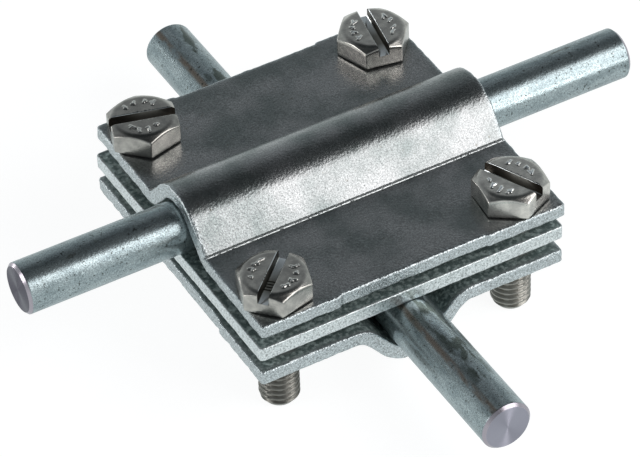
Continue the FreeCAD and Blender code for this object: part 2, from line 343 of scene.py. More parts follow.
def plate_mesh(section, across, along, draw_in, hole_r, edge_r, shear, seed):
    """Plate as two skins half a thickness each side of the section's middle line. The skins meet
    rounded walls round the outline and in the bolt holes. Near the edges the grid is squeezed onto
    the outline, and round each hole a square of grid lines is drawn in to the hole's circle. Then
    every vertex sinks along its normal by the lumps of the zinc coat, and deeper by the grain of
    the sheared edges, whose depth is given, and by wider tears. Gives positions, quads and the
    marks of the material: cut edges, the sheltered underside, and the crease."""
    u, x = np.meshgrid(across, along, indexing="ij")
    y, z, lean, crease = section(u)
    ramp = smooth((draw_in / 2 - np.abs(x)) / DRAW_IN_STEP) * (DRAW_IN_DEPTH if draw_in else 0)
    beside = np.clip(np.abs(x) - plate_half + PLATE_CORNER_R, 0, PLATE_CORNER_R)
    corner = PLATE_CORNER_R - np.sqrt(PLATE_CORNER_R**2 - beside**2)
    y = y - (ramp + corner) * np.clip((y - squeeze_start) / (plate_half - squeeze_start), 0, 1)

    # The squares round the holes, drawn in to circles
    dx, dy = np.abs(x) - bolt_place, y - bolt_place
    square = np.maximum(np.abs(dx), np.abs(dy))
    pull = np.clip((hole_ring - square) / (hole_ring - HOLE_BLOCK), 0, 1)
    gain = 1 - pull + pull * hole_r / np.maximum(np.hypot(dx, dy), GRID_STEP / 2)
    x = np.sign(x) * np.where(pull > 0, bolt_place + dx * gain, np.abs(x))
    y = np.where(pull > 0, bolt_place + dy * gain, y)

    # How deep each vertex lies inside the outline and the holes, and the rounding there
    qx = np.abs(x) - plate_half + PLATE_CORNER_R
    qy = y - plate_half + ramp + PLATE_CORNER_R
    depth = PLATE_CORNER_R - np.hypot(np.maximum(qx, 0), np.maximum(qy, 0))
    depth = depth - np.minimum(np.maximum(qx, qy), 0)
    depth = np.minimum(depth, np.hypot(np.abs(x) - bolt_place, y - bolt_place) - hole_r)
    near = np.clip(edge_r - depth, 0, edge_r)
    drop = edge_r - np.sqrt(edge_r**2 - near**2)
    side = np.sign(u)
    middle = np.stack([x, y * side, z], -1)
    normal = np.stack([0 * x, np.sin(lean) * side, np.cos(lean)], -1)
    skin = normal * (PLATE_T / 2 - drop)[..., None]
    verts = [(middle + skin).reshape(-1, 3), (middle - skin).reshape(-1, 3)]
    edge = np.exp(-((np.maximum(depth, 0) / (EDGE_SPREAD * edge_r)) ** 2)).reshape(-1)
    cut = [edge, edge]

    numbers = np.arange(x.size).reshape(x.shape)
    cells = np.stack([numbers[:-1, :-1], numbers[:-1, 1:], numbers[1:, 1:], numbers[1:, :-1]], -1)
    whole = (square[:-1, :-1] + square[1:, 1:]) / 2 > HOLE_BLOCK - GRID_STEP / 4
    top = cells.reshape(-1, 4)[whole.reshape(-1)]
    quads = [top, top[:, ::-1] + x.size]

    def ring(rows, lines):
        """Vertex numbers round a block of the grid, anticlockwise seen from above."""
        (i, j), (k, m) = rows, lines
        parts = [numbers[i, k:m], numbers[i:j, m], numbers[j, m:k:-1], numbers[j:i:-1, k]]
        return np.concatenate(parts)

    # Walls between the two skins, round the outline and in each hole
    at_hole = [np.abs(v - bolt_place) for v in (section(across)[0], np.abs(along))]
    row_pairs, line_pairs = [
        np.flatnonzero(np.isclose(v, HOLE_BLOCK)).reshape(2, 2) for v in at_hole
    ]
    loops = [ring((0, len(across) - 1), (0, len(along) - 1))]
    loops += [ring(rows, lines)[::-1] for rows in row_pairs for lines in line_pairs]
    count = 2 * x.size
    for loop in loops:
        share = np.linspace(0, 1, WALL_ROWS + 1)[1:-1, None, None]
        wall = verts[1][loop] * (1 - share) + verts[0][loop] * share
        fresh = count + np.arange(wall.shape[0] * len(loop)).reshape(-1, len(loop))
        quads.append(closed_band(np.vstack([loop + x.size, fresh, loop])))
        verts.append(wall.reshape(-1, 3))
        cut.append(np.ones(fresh.size))
        count += fresh.size

    verts, quads, cut = np.concatenate(verts), np.concatenate(quads), np.concatenate(cut)
    coat = COAT_DEPTH * value_noise(verts, COAT_LUMP, seed)
    grain = cut * value_noise(verts, SHEAR_GRAIN, seed + 1)
    torn = smooth((value_noise(verts, TEAR_WIDTH, seed + 2) - TEAR_START) / TEAR_RAMP)
    sink = coat + shear * (grain + TEAR_DEPTH / SHEAR_DEPTH * cut**3 * torn)
    crease = np.concatenate([crease.reshape(-1), np.zeros(len(verts) - x.size)])
    underside = np.arange(len(verts)) // x.size == 1
    marks = {"cut": cut, "sheltered": (1 - cut) * underside, "crease": crease}
    return verts - outward_normals(verts, quads) * sink[:, None], quads, marks


ZINC_DARK = "898E8D"
ZINC_LIGHT = "ADADAD"
ZINC_STAIN = "6E675B"
ZINC_BLOOM = "6C7A78"
ZINC_FLECK = "C3D0CD"
ZINC_ASH = "F4F6F5"
CLOUD_WIDTH = 8.0 * MM
STAIN_WIDTH = 0.9 * MM
STAIN_SHARE = 0.7
ASH_SHARE = 0.45
SPECK_WIDTH = 0.25 * MM
SPECK_DARK = 0.7
SPECK_LIGHT = 1.28
ZINC_GRAIN = 0.5 * MM
ZINC_GRAIN_HEIGHT = 0.05 * MM
EDGE_GRAIN = 0.42 * MM
ZINC_METALLIC = 0.92
BLOOM_METALLIC = 0.3
ZINC_ROUGHNESS = 0.24
BLOOM_ROUGHNESS = 0.5


def speckled(tree, colour, speck, dark):
    """Colour times crystal specks, which go from dark to SPECK_LIGHT as their noise rises."""
    share = add(
        tree,
        "ShaderNodeMapRange",
        {"Value": speck, "From Min": 0.3, "From Max": 0.7, "To Min": dark, "To Max": SPECK_LIGHT},
    )
    return add(
        tree, "ShaderNodeVectorMath", {0: colour, 3: share.outputs[0]}, operation="SCALE"
    ).outputs[0]


def galvanised_sheet(name, edge_code, edge_relief, edge_roughness):
    """Hot-dip zinc on steel sheet. Its cut edges have their own colour, relief and roughness, its
    sheltered faces keep a dull bloom, and white ash is left in its creases."""
    material, tree = new_material(name)
    place = add(tree, "ShaderNodeTexCoord").outputs["Object"]
    cut_edge, sheltered, crease = [
        add(tree, "ShaderNodeAttribute", attribute_name=mark).outputs["Fac"]
        for mark in ("cut", "sheltered", "crease")
    ]
    patterns = [
        (CLOUD_WIDTH, 5.0),
        (SPECK_WIDTH, 1.0),
        (ZINC_GRAIN, 3.0),
        (STAIN_WIDTH, 2.0),
        (EDGE_GRAIN, 2.0),
    ]
    cloud, speck, grain, spots, lumps = [
        add(
            tree, "ShaderNodeTexNoise", {"Vector": place, "Scale": 1 / width, "Detail": detail}
        ).outputs["Fac"]
        for width, detail in patterns
    ]
    # Faint grey clouds over the faces
    clouded = add(
        tree, "ShaderNodeValToRGB", {"Fac": cloud}, stops=[(0.36, ZINC_DARK), (0.62, ZINC_LIGHT)]
    )
    # Small brown stains where the zinc is thin
    stained = add(
        tree,
        "ShaderNodeMapRange",
        {"Value": spots, "From Min": 0.68, "From Max": 0.8, "To Max": STAIN_SHARE},
    )
    face = add(
        tree,
        "ShaderNodeMix",
        {0: stained.outputs[0], 6: clouded.outputs["Color"], 7: srgb(ZINC_STAIN)},
        data_type="RGBA",
    )
    # The dull bloom that zinc grows where damp air stands, between the plates, with pale flecks
    bloom = add(
        tree, "ShaderNodeValToRGB", {"Fac": spots}, stops=[(0.45, ZINC_BLOOM), (0.68, ZINC_FLECK)]
    )
    bloomed = add(
        tree,
        "ShaderNodeMix",
        {0: sheltered, 6: face.outputs[2], 7: bloom.outputs["Color"]},
        data_type="RGBA",
    )
    # White ash that comes and goes along the crease
    patchy = add(
        tree,
        "ShaderNodeMapRange",
        {"Value": lumps, "From Min": 0.36, "From Max": 0.46, "To Min": ASH_SHARE},
    )
    ash = add(tree, "ShaderNodeMath", {0: crease, 1: patchy.outputs[0]}, operation="MULTIPLY")
    ashy = add(
        tree,
        "ShaderNodeMix",
        {0: ash.outputs[0], 6: bloomed.outputs[2], 7: srgb(ZINC_ASH)},
        data_type="RGBA",
    )
    # Zinc clots on the cut edges, light on top and grey between
    edge_light = add(
        tree, "ShaderNodeMapRange", {"Value": lumps, "From Min": 0.2, "From Max": 0.55}
    )
    edge = add(
        tree,
        "ShaderNodeMix",
        {0: edge_light.outputs[0], 6: clouded.outputs["Color"], 7: srgb(edge_code)},
        data_type="RGBA",
    )
    colour = add(
        tree,
        "ShaderNodeMix",
        {0: cut_edge, 6: ashy.outputs[2], 7: edge.outputs[2]},
        data_type="RGBA",
    )
    sparkling = speckled(tree, colour.outputs[2], speck, SPECK_DARK)
    # The bloom is rougher than the faces, and it and the ash are dull
    face_roughness = add(
        tree,
        "ShaderNodeMix",
        {0: sheltered, 2: ZINC_ROUGHNESS, 3: BLOOM_ROUGHNESS},
        data_type="FLOAT",
    )
    roughness = add(
        tree,
        "ShaderNodeMix",
        {0: cut_edge, 2: face_roughness.outputs[0], 3: edge_roughness},
        data_type="FLOAT",
    )
    dull = add(tree, "ShaderNodeMath", {0: sheltered, 1: ash.outputs[0]}, operation="MAXIMUM")
    metal = add(
        tree,
        "ShaderNodeMix",
        {0: dull.outputs[0], 2: ZINC_METALLIC, 3: BLOOM_METALLIC},
        data_type="FLOAT",
    )
    # Fine grain all over, which sparkles where a lamp grazes it, lumps on the edges, and the bead
    # of ash that stands up along the crease
    fine = add(tree, "ShaderNodeBump", {"Height": grain, "Distance": ZINC_GRAIN_HEIGHT})
    coarse = add(
        tree,
        "ShaderNodeBump",
        {"Height": lumps, "Distance": edge_relief, "Strength": cut_edge, "Normal": fine.outputs[0]},
    )
    bead = add(
        tree,
        "ShaderNodeBump",
        {"Height": ash.outputs[0], "Distance": CREASE_HEIGHT, "Normal": coarse.outputs[0]},
    )
    zinc = add(
        tree,
        "ShaderNodeBsdfPrincipled",
        {
            "Base Color": sparkling,
            "Metallic": metal.outputs[0],
            "Roughness": roughness.outputs[0],
            "Normal": bead.outputs[0],
        },
    )
    add(tree, "ShaderNodeOutputMaterial", {"Surface": zinc.outputs[0]})
    return material


# Zinc on the pressings: a dull grey that mirrors the studio softly, with rough bright clots on the
# sheared edges.
zinc_sheared = galvanised_sheet(
    "hot_dip_galvanised_sheared_sheet",
    edge_code="D2D8DA",
    edge_relief=0.2 * MM,
    edge_roughness=0.26,
)
along_plate = plate_stations([0.0], 0.0)
section, across_plate = folded_sheet(LOWER_GROOVE_DEPTH, LOWER_BEND_R)
verts, quads, marks = plate_mesh(
    section,
    across_plate,
    along_plate,
    draw_in=DRAW_IN_LENGTH,
    hole_r=TAPPED_HOLE_R,
    edge_r=SHEARED_EDGE_R,
    shear=SHEAR_DEPTH,
    seed=10,
)
# Upside down and a quarter turn round: x and y change places and z changes sign
verts = verts[:, [1, 0, 2]] * (1, 1, -1) + (0, 0, lower_high.z - PLATE_T / 2)
lower_plate = make_piece("lower_plate_skin", verts, quads, zinc_sheared, **marks)
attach(lower_plate, "root")
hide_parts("lower_plate")


# Lower conductor. A short length of round steel rod with a drawn zinc coat, cut off and chamfered
# on a lathe. It lies along Y in the lower plate's groove, under the middle plate.
lower_rod_low, lower_rod_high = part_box("lower_conductor")
CONDUCTOR_R = (lower_rod_high.x - lower_rod_low.x) / 2
CONDUCTOR_CHAMFER = 0.6 * MM
ROD_STEP = 0.42 * MM
ROD_COLUMNS = 84
# Lathe rings on the end faces
FACE_RING = 0.45 * MM
FACE_RING_DEPTH = 0.008 * MM
FACE_ROWS = 26
# Rows down the chamfer as shares of its depth, and what is left of it for the eased edge
BEVEL_ROWS = np.array([0.04, 0.12, 0.5, 0.88, 0.97, 1.1])
BEVEL_EASE = [0, 0, 0, 0, 0.012, 0]
# Drawn streaks and pits in the zinc. Places along the rod are shrunk before the streaks' noise,
# which draws it out.
STREAK_WIDTH = 1.6 * MM
STREAK_DEPTH = 0.003 * MM
STREAK_SHRINK = 0.12
PIT_WIDTH = 0.7 * MM
PIT_DEPTH = 0.03 * MM
PIT_START = 0.8
PIT_RAMP = 0.12


def revolved(radii, heights, angles):
    """Closed surface round the Z axis, from rows of radii and heights that start at the lower end
    and may change with the angle. A vertex on the axis closes each end."""
    rings = np.stack([radii * np.cos(angles), radii * np.sin(angles), heights + 0 * radii], -1)
    count = radii.size
    poles = [[0, 0, rings[end, :, 2].mean()] for end in (0, -1)]
    numbers = np.arange(count).reshape(radii.shape)
    first, last = numbers[0], numbers[-1]
    closing = [
        np.stack([np.roll(first, -1), first, 0 * first + count, 0 * first + count], -1),
        np.stack([last, np.roll(last, -1), 0 * last + count + 1, 0 * last + count + 1], -1),
    ]
    return np.vstack([rings.reshape(-1, 3), poles]), np.vstack([closed_band(numbers)] + closing)


def conductor_mesh(length, seed):
    """Rod about the Z axis: lathe rings on its end faces, a chamfer with eased edges, and a long
    side that sinks by zinc streaks, which are noise drawn out along the rod, and by scattered pits.
    Gives positions, quads and marks: the cut ends, and the chamfer round them."""
    face_r = np.linspace(FACE_RING / 2, CONDUCTOR_R - CONDUCTOR_CHAMFER, FACE_ROWS)
    face_in = FACE_RING_DEPTH * (1 + np.sin(face_r / FACE_RING * 2 * math.pi))
    bevel_r = CONDUCTOR_R - CONDUCTOR_CHAMFER * np.maximum(1 - BEVEL_ROWS, BEVEL_EASE)
    end_r = np.concatenate([face_r, bevel_r])
    end_in = np.concatenate([face_in, CONDUCTOR_CHAMFER * BEVEL_ROWS])
    side = spaced([end_in[-1] + ROD_STEP / 2, length - end_in[-1] - ROD_STEP / 2], ROD_STEP)
    radii = np.concatenate([end_r, CONDUCTOR_R + 0 * side, end_r[::-1]])
    heights = np.concatenate([end_in, side, length - end_in[::-1]]) - length / 2
    angles = np.arange(ROD_COLUMNS) / ROD_COLUMNS * 2 * math.pi
    verts, quads = revolved(radii[:, None] + 0 * angles, heights[:, None], angles)
    from_end = length / 2 - np.abs(verts[:, 2])
    cut = 1 - smooth((from_end / CONDUCTOR_CHAMFER - 0.9) / 0.2)
    streak = value_noise(verts * (1, 1, STREAK_SHRINK), STREAK_WIDTH, seed)
    pits = smooth((value_noise(verts, PIT_WIDTH, seed + 1) - PIT_START) / PIT_RAMP)
    sink = (1 - cut) * (STREAK_DEPTH * streak + PIT_DEPTH * pits)
    from_face = np.hypot(verts[:, 0], verts[:, 1]) - CONDUCTOR_R + CONDUCTOR_CHAMFER
    marks = {"cut": cut, "bevel": cut * smooth(from_face / (0.1 * CONDUCTOR_CHAMFER))}
    return verts - outward_normals(verts, quads) * sink[:, None], quads, marks


ROD_DARK = "9AA6A9"
ROD_LIGHT = "B0BBBD"
# Brown of the line painted along one side of a rod, a painted reflection
ROD_PAINTED_REFLECTION = "7D5B38"
ROD_PITTED = "3C403C"
# Pale colour of the chamfers, a painted highlight
BEVEL_HIGHLIGHT = "BAB1B9"
ROD_CLOUD = 1.6 * MM
ROD_BLOTCH = 2.6 * MM
ROD_GRAIN = 0.45 * MM
ROD_GRAIN_HEIGHT = 0.022 * MM
ROD_PIT = 0.55 * MM
ROD_SPECK_DARK = 0.72
# How strongly the stains, the brown line of painted reflection and the pits cover the zinc
BLOTCH_SHARE = 0.8
REFLECTION_LINE_SHARE = 0.65
PITTED_SHARE = 0.85
# Cosines of the angles from the middle of the painted reflection line and of the row of stains
REFLECTION_LINE_EDGE = math.cos(math.radians(9))
REFLECTION_LINE_MIDDLE = math.cos(math.radians(2.5))
STAIN_EDGE = math.cos(math.radians(34))
STAIN_MIDDLE = math.cos(math.radians(14))
ROD_METALLIC = 0.86
ROD_ROUGHNESS = 0.25
TURNED_ROUGHNESS = 0.42
TURNING = 0.9


def galvanised_rod(name, end_colour_and_shade, stain_code, stain_start, along, centre, reflection_line_side, stain_side):
    """Zinc drawn out along a steel rod, with a row of stains on one side, where a noise passes
    their start, a brown line of painted reflection on another side, and bare turned steel at the
    ends, whose chamfers are painted paler as a highlight. Along scales a place down along the rod;
    centre is on its axis; the sides are unit directions."""
    material, tree = new_material(name)
    place = add(tree, "ShaderNodeTexCoord").outputs["Object"]
    cut_end, bevel = [
        add(tree, "ShaderNodeAttribute", attribute_name=mark).outputs["Fac"]
        for mark in ("cut", "bevel")
    ]
    drawn = add(tree, "ShaderNodeMapping", {"Vector": place, "Scale": along}).outputs["Vector"]
    patterns = [
        (drawn, ROD_CLOUD, 5.0),
        (drawn, ROD_BLOTCH, 6.0),
        (place, ROD_GRAIN, 3.0),
        (place, SPECK_WIDTH, 1.0),
        (place, ROD_PIT, 1.0),
    ]
    cloud, blotch, grain, speck, spots = [
        add(
            tree, "ShaderNodeTexNoise", {"Vector": vector, "Scale": 1 / width, "Detail": detail}
        ).outputs["Fac"]
        for vector, width, detail in patterns
    ]
    # Lighter and darker streaks along the rod
    streaks = add(
        tree, "ShaderNodeValToRGB", {"Fac": cloud}, stops=[(0.38, ROD_DARK), (0.62, ROD_LIGHT)]
    )
    # The way out from the axis, for the stains, the painted reflection line and the turning marks
    across = [float(share == 1) for share in along]
    outside = add(
        tree,
        "ShaderNodeMapping",
        {"Vector": place, "Location": [-c * a for c, a in zip(centre, across)], "Scale": across},
    )
    radial = add(
        tree, "ShaderNodeVectorMath", {0: outside.outputs[0]}, operation="NORMALIZE"
    ).outputs[0]
    to_stains, to_reflection_line = [
        add(
            tree, "ShaderNodeVectorMath", {0: radial, 1: side}, operation="DOT_PRODUCT"
        ).outputs["Value"]
        for side in (stain_side, reflection_line_side)
    ]
    # The row of stains
    beside = add(
        tree,
        "ShaderNodeMapRange",
        {"Value": to_stains, "From Min": STAIN_EDGE, "From Max": STAIN_MIDDLE},
    )
    stains = add(
        tree,
        "ShaderNodeMapRange",
        {
            "Value": blotch,
            "From Min": stain_start,
            "From Max": stain_start + 0.05,
            "To Max": BLOTCH_SHARE,
        },
    )
    stain = add(
        tree, "ShaderNodeMath", {0: stains.outputs[0], 1: beside.outputs[0]}, operation="MULTIPLY"
    )
    stained = add(
        tree,
        "ShaderNodeMix",
        {0: stain.outputs[0], 6: streaks.outputs["Color"], 7: srgb(stain_code)},
        data_type="RGBA",
    )
    # A brown line painted along one side of the rod, a painted reflection, broken where the streaks
    # are dark
    reflection_band = add(
        tree,
        "ShaderNodeMapRange",
        {"Value": to_reflection_line, "From Min": REFLECTION_LINE_EDGE, "From Max": REFLECTION_LINE_MIDDLE, "To Max": REFLECTION_LINE_SHARE},
    )
    broken = add(tree, "ShaderNodeMapRange", {"Value": cloud, "From Min": 0.34, "From Max": 0.5})
    painted_reflection_line = add(
        tree, "ShaderNodeMath", {0: reflection_band.outputs[0], 1: broken.outputs[0]}, operation="MULTIPLY"
    )
    lined = add(
        tree,
        "ShaderNodeMix",
        {0: painted_reflection_line.outputs[0], 6: stained.outputs[2], 7: srgb(ROD_PAINTED_REFLECTION)},
        data_type="RGBA",
    )
    # Small dark pits
    pits = add(
        tree,
        "ShaderNodeMapRange",
        {"Value": spots, "From Min": 0.65, "From Max": 0.72, "To Max": PITTED_SHARE},
    )
    pitted = add(
        tree,
        "ShaderNodeMix",
        {0: pits.outputs[0], 6: lined.outputs[2], 7: srgb(ROD_PITTED)},
        data_type="RGBA",
    )
    sparkling = speckled(tree, pitted.outputs[2], speck, ROD_SPECK_DARK)
    # The chamfers are painted paler than the faces, a painted highlight
    turned = add(
        tree, "ShaderNodeMix", {0: bevel, 6: srgb(end_colour_and_shade), 7: srgb(BEVEL_HIGHLIGHT)}, data_type="RGBA"
    )
    colour = add(
        tree, "ShaderNodeMix", {0: cut_end, 6: sparkling, 7: turned.outputs[2]}, data_type="RGBA"
    )
    rough_zinc = add(tree, "ShaderNodeMath", {0: 1.0, 1: cut_end}, operation="SUBTRACT")
    bump = add(
        tree,
        "ShaderNodeBump",
        {"Height": grain, "Distance": ROD_GRAIN_HEIGHT, "Strength": rough_zinc.outputs[0]},
    )
    # Turning marks on the end faces draw a highlight out away from the axis
    on_face = add(tree, "ShaderNodeMath", {0: cut_end, 1: bevel}, operation="SUBTRACT").outputs[0]
    stretch = add(tree, "ShaderNodeMath", {0: on_face, 1: TURNING}, operation="MULTIPLY")
    roughness = add(
        tree,
        "ShaderNodeMix",
        {0: on_face, 2: ROD_ROUGHNESS, 3: TURNED_ROUGHNESS},
        data_type="FLOAT",
    )
    metal = add(tree, "ShaderNodeMix", {0: cut_end, 2: ROD_METALLIC, 3: 1.0}, data_type="FLOAT")
    zinc = add(
        tree,
        "ShaderNodeBsdfPrincipled",
        {
            "Base Color": colour.outputs[2],
            "Metallic": metal.outputs[0],
            "Roughness": roughness.outputs[0],
            "Normal": bump.outputs[0],
            "Anisotropic": stretch.outputs[0],
            "Tangent": radial,
        },
    )
    add(tree, "ShaderNodeOutputMaterial", {"Surface": zinc.outputs[0]})
    return material


# Zinc on the lower rod: blue-grey streaks with olive blotches where the zinc has reacted.
lower_centre = (lower_rod_low + lower_rod_high) / 2
zinc_blotched = galvanised_rod(
    "blotched_galvanised_rod",
    end_colour_and_shade="B3B0BC",
    stain_code="4E564C",
    stain_start=0.54,
    along=(1, 0.3, 1),
    centre=lower_centre,
    # Side that the brown line of painted reflection runs along
    reflection_line_side=(-0.469, 0, 0.883),
    stain_side=(0.139, 0, 0.99),
)
verts, quads, marks = conductor_mesh(lower_rod_high.y - lower_rod_low.y, seed=20)
verts = verts[:, [1, 2, 0]] + np.array(lower_centre)
lower_conductor = make_piece("lower_conductor_rod", verts, quads, zinc_blotched, **marks)
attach(lower_conductor, "lower_conductor")
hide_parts("lower_conductor")


# Middle plate. A plain square of the same sheet between the two conductors, galvanised, with four
# clearance holes for the bolts.
CLEARANCE_HOLE_R = 4.5 * MM
SAWN_DEPTH = 0.05 * MM
SAWN_EDGE_R = 0.22 * MM

# Zinc on the flat plate: the same grey, with paler, smoother edges.
zinc_sawn = galvanised_sheet(
    "hot_dip_galvanised_sawn_sheet", edge_code="F0F5F5", edge_relief=0.08 * MM, edge_roughness=0.3
)
verts, quads, marks = plate_mesh(
    flat_sheet,
    along_plate,
    along_plate,
    draw_in=0.0,
    hole_r=CLEARANCE_HOLE_R,
    edge_r=SAWN_EDGE_R,
    shear=SAWN_DEPTH,
    seed=30,
)
verts = verts + (0, 0, (middle_low.z + middle_high.z) / 2)
# Both its faces are sheltered by the other plates
marks["sheltered"] = 1 - marks["cut"]
middle_plate = make_piece("middle_plate_skin", verts, quads, zinc_sawn, **marks)
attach(middle_plate, "root")
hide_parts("middle_plate")


# Upper conductor. The same rod, cut a little longer, along X between the middle plate and the
# upper plate's groove.
upper_rod_low, upper_rod_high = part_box("upper_conductor")
# Zinc on the upper rod: the same, cleaner, with few stains. Its turned end faces are painted darker
# than the lower rod's, a painted shade.
upper_centre = (upper_rod_low + upper_rod_high) / 2
zinc_streaked = galvanised_rod(
    "streaked_galvanised_rod",
    # Darker turned steel on the end faces, a painted shade
    end_colour_and_shade="6F6B75",
    stain_code="6B6E66",
    stain_start=0.62,
    along=(0.3, 1, 1),
    centre=upper_centre,
    # Side that the brown line of painted reflection runs along
    reflection_line_side=(0, 1, 0),
    stain_side=(0, 0, 1),
)
verts, quads, marks = conductor_mesh(upper_rod_high.x - upper_rod_low.x, seed=40)
verts = verts[:, [2, 0, 1]] + np.array(upper_centre)
upper_conductor = make_piece("upper_conductor_rod", verts, quads, zinc_streaked, **marks)
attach(upper_conductor, "upper_conductor")
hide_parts("upper_conductor")


# Upper plate. A like pressing the right way up over the upper conductor, with clearance holes.
# The bolts are only hand-tight, so it leans a little about the conductor, down at the front.
upper_low, upper_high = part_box("upper_plate")
LEAN = math.radians(1.5)
UPPER_GROOVE_DEPTH = 7.85 * MM
UPPER_BEND_R = 0.6 * MM + PLATE_T / 2
GROOVE_GAP = 0.55 * MM

section, across_plate = folded_sheet(UPPER_GROOVE_DEPTH, UPPER_BEND_R)
verts, quads, marks = plate_mesh(
    section,
    across_plate,
    along_plate,
    draw_in=DRAW_IN_LENGTH,
    hole_r=CLEARANCE_HOLE_R,
    edge_r=SHEARED_EDGE_R,
    shear=SHEAR_DEPTH,
    seed=50,
)
# Set over the rod, then turned about the rod's axis
rod_axis = (upper_rod_low.z + upper_rod_high.z) / 2
above_axis = verts[:, 2] + CONDUCTOR_R + GROOVE_GAP - UPPER_GROOVE_DEPTH + PLATE_T / 2
x = verts[:, 0] + (upper_low.x + upper_high.x) / 2
y = verts[:, 1] * math.cos(LEAN) - above_axis * math.sin(LEAN)
z = verts[:, 1] * math.sin(LEAN) + above_axis * math.cos(LEAN)
verts = np.stack([x, y, z + rod_axis], -1)
upper_plate = make_piece("upper_plate_skin", verts, quads, zinc_sheared, **marks)
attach(upper_plate, "upper_plate")
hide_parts("upper_plate")


# Bolts. Four M8 hexagon screws cold-headed from stainless wire, with a rolled thread up to the
# head and a milled slot. Each one's head stopped at its own angle.
BOLT_LENGTH = 26.0 * MM
THREAD_R = 3.9 * MM
THREAD_PITCH = 1.25 * MM
THREAD_DEPTH = 0.62 * MM
# The thread's section in shares of a pitch: half its flat root, and its flank
THREAD_ROOT = 0.12
THREAD_FLANK = 0.3
ROWS_PER_PITCH = 8
POINT_R = 2.9 * MM
POINT_LENGTH = 1.3 * MM
POINT_HOLLOW = 0.15 * MM
# Degrees from a flat's middle to where its corner's finer columns start, and steps of the columns
CORNER_START = 28.4
CORNER_STEP = 0.6
FLAT_STEP = 2.2
HEAD_FLAT = 6.45 * MM
HEAD_CORNER_R = 0.3 * MM
HEAD_HEIGHT = 4.9 * MM
HEAD_TOP_R = 6.4 * MM
HEAD_SLOPE = math.tan(math.radians(33))
RIM_WIDTH = 1.1 * MM
RIM_R = 1.7 * MM
EDGE_EASE = 0.12 * MM
# Raised marks: where they stand, their strokes' half lengths and how far they stray
MARK_HEIGHT = 0.25 * MM
MARK_ANGLES = np.radians([48, 70, 95, 122, 230, 254, 282, 310])
MARK_R = 4.1 * MM
MARK_WIDTH = 0.24 * MM
MARK_STRAY = 0.25
STROKES_PER_MARK = 2
STROKE_REACH = (0.15, 0.7)
# Rings of the disc: fine ones under the marks, then a few down to the axis, in millimetres
MARKED_RINGS_TO = 2.9 * MM
MARKED_RING_STEP = 0.13 * MM
PLAIN_RINGS = np.linspace(2.7, 0.4, 6)
SLOT_WIDTH = 2.2 * MM
SLOT_DEPTH = 2.5 * MM
SLOT_EASE = 0.12 * MM
CUTTER_REACH = 9 * MM
CUTTER_RISE = 1 * MM
CHATTER_MIDDLES = np.array([-2.49, -1.72, -0.96, -0.19]) * MM
CHATTER_WIDTH = 0.34 * MM
CHATTER_DEPTH = 0.3 * MM
# Each bolt's slot as degrees from +X towards +Y, and how far its steel is painted paler, from
# shaded to lit: painted light and shade
BOLTS = {
    "bolt_left": (164.0, 0.05),
    "bolt_front": (43.0, 0.33),
    "bolt_right": (115.0, 1.0),
    "bolt_back": (79.5, 0.5),
}


def hexagon_reach(angles):
    """Distance from the axis to the head's side: the flat's distance over the cosine of the angle
    from the flat's middle, and near a corner the far crossing with the corner's small arc."""
    off = (angles + math.pi / 6) % (math.pi / 3) - math.pi / 6
    centre = (HEAD_FLAT - HEAD_CORNER_R) / math.cos(math.pi / 6)
    from_corner = math.pi / 6 - np.abs(off)
    rest = np.maximum(HEAD_CORNER_R**2 - (centre * np.sin(from_corner)) ** 2, 0)
    arc = centre * np.cos(from_corner) + np.sqrt(rest)
    on_arc = np.abs(np.tan(off)) * HEAD_FLAT > (HEAD_FLAT - HEAD_CORNER_R) * math.tan(math.pi / 6)
    return np.where(on_arc, arc, HEAD_FLAT / np.cos(off))


def head_height(reach):
    """Height of the head's top: level, then down an arc round the rim, then down a cone."""
    into_rim = np.clip(reach - HEAD_TOP_R + RIM_WIDTH, 0, RIM_WIDTH)
    rim = RIM_R - np.sqrt(RIM_R**2 - into_rim**2)
    cone = HEAD_SLOPE * np.maximum(reach - HEAD_TOP_R, 0)
    return HEAD_HEIGHT - MARK_HEIGHT - rim - cone


def stamped_marks(x, y, seed):
    """How far each place on the head's top lies on a raised mark, from 0 to 1. A mark is two short
    strokes at random slants about its spot, and a stroke fades with the distance to its segment."""
    rng = np.random.default_rng(seed)
    spots = np.repeat(MARK_ANGLES, STROKES_PER_MARK)
    middle = MARK_R * np.stack([np.cos(spots), np.sin(spots)], -1)
    middle = middle + rng.uniform(-MARK_STRAY, MARK_STRAY, middle.shape) * MM
    slant = rng.uniform(0, math.pi, len(spots))
    reach = rng.uniform(*STROKE_REACH, len(spots)) * MM
    along = np.stack([np.cos(slant), np.sin(slant)], -1)
    marks = 0 * x
    for centre, way, half in zip(middle, along, reach):
        dx, dy = x - centre[0], y - centre[1]
        share = np.clip(dx * way[0] + dy * way[1], -half, half)
        apart = np.hypot(dx - share * way[0], dy - share * way[1])
        marks = np.maximum(marks, smooth(1.5 - apart / MARK_WIDTH))
    return marks


def thread_radius(heights, angles):
    """Radius of a right-hand thread: a ridge with flat top and root that climbs a pitch a turn."""
    phase = (heights / THREAD_PITCH - angles / (2 * math.pi)) % 1
    ridge = np.clip((np.abs(phase - 0.5) - THREAD_ROOT) / THREAD_FLANK, 0, 1)
    return THREAD_R - THREAD_DEPTH * ridge


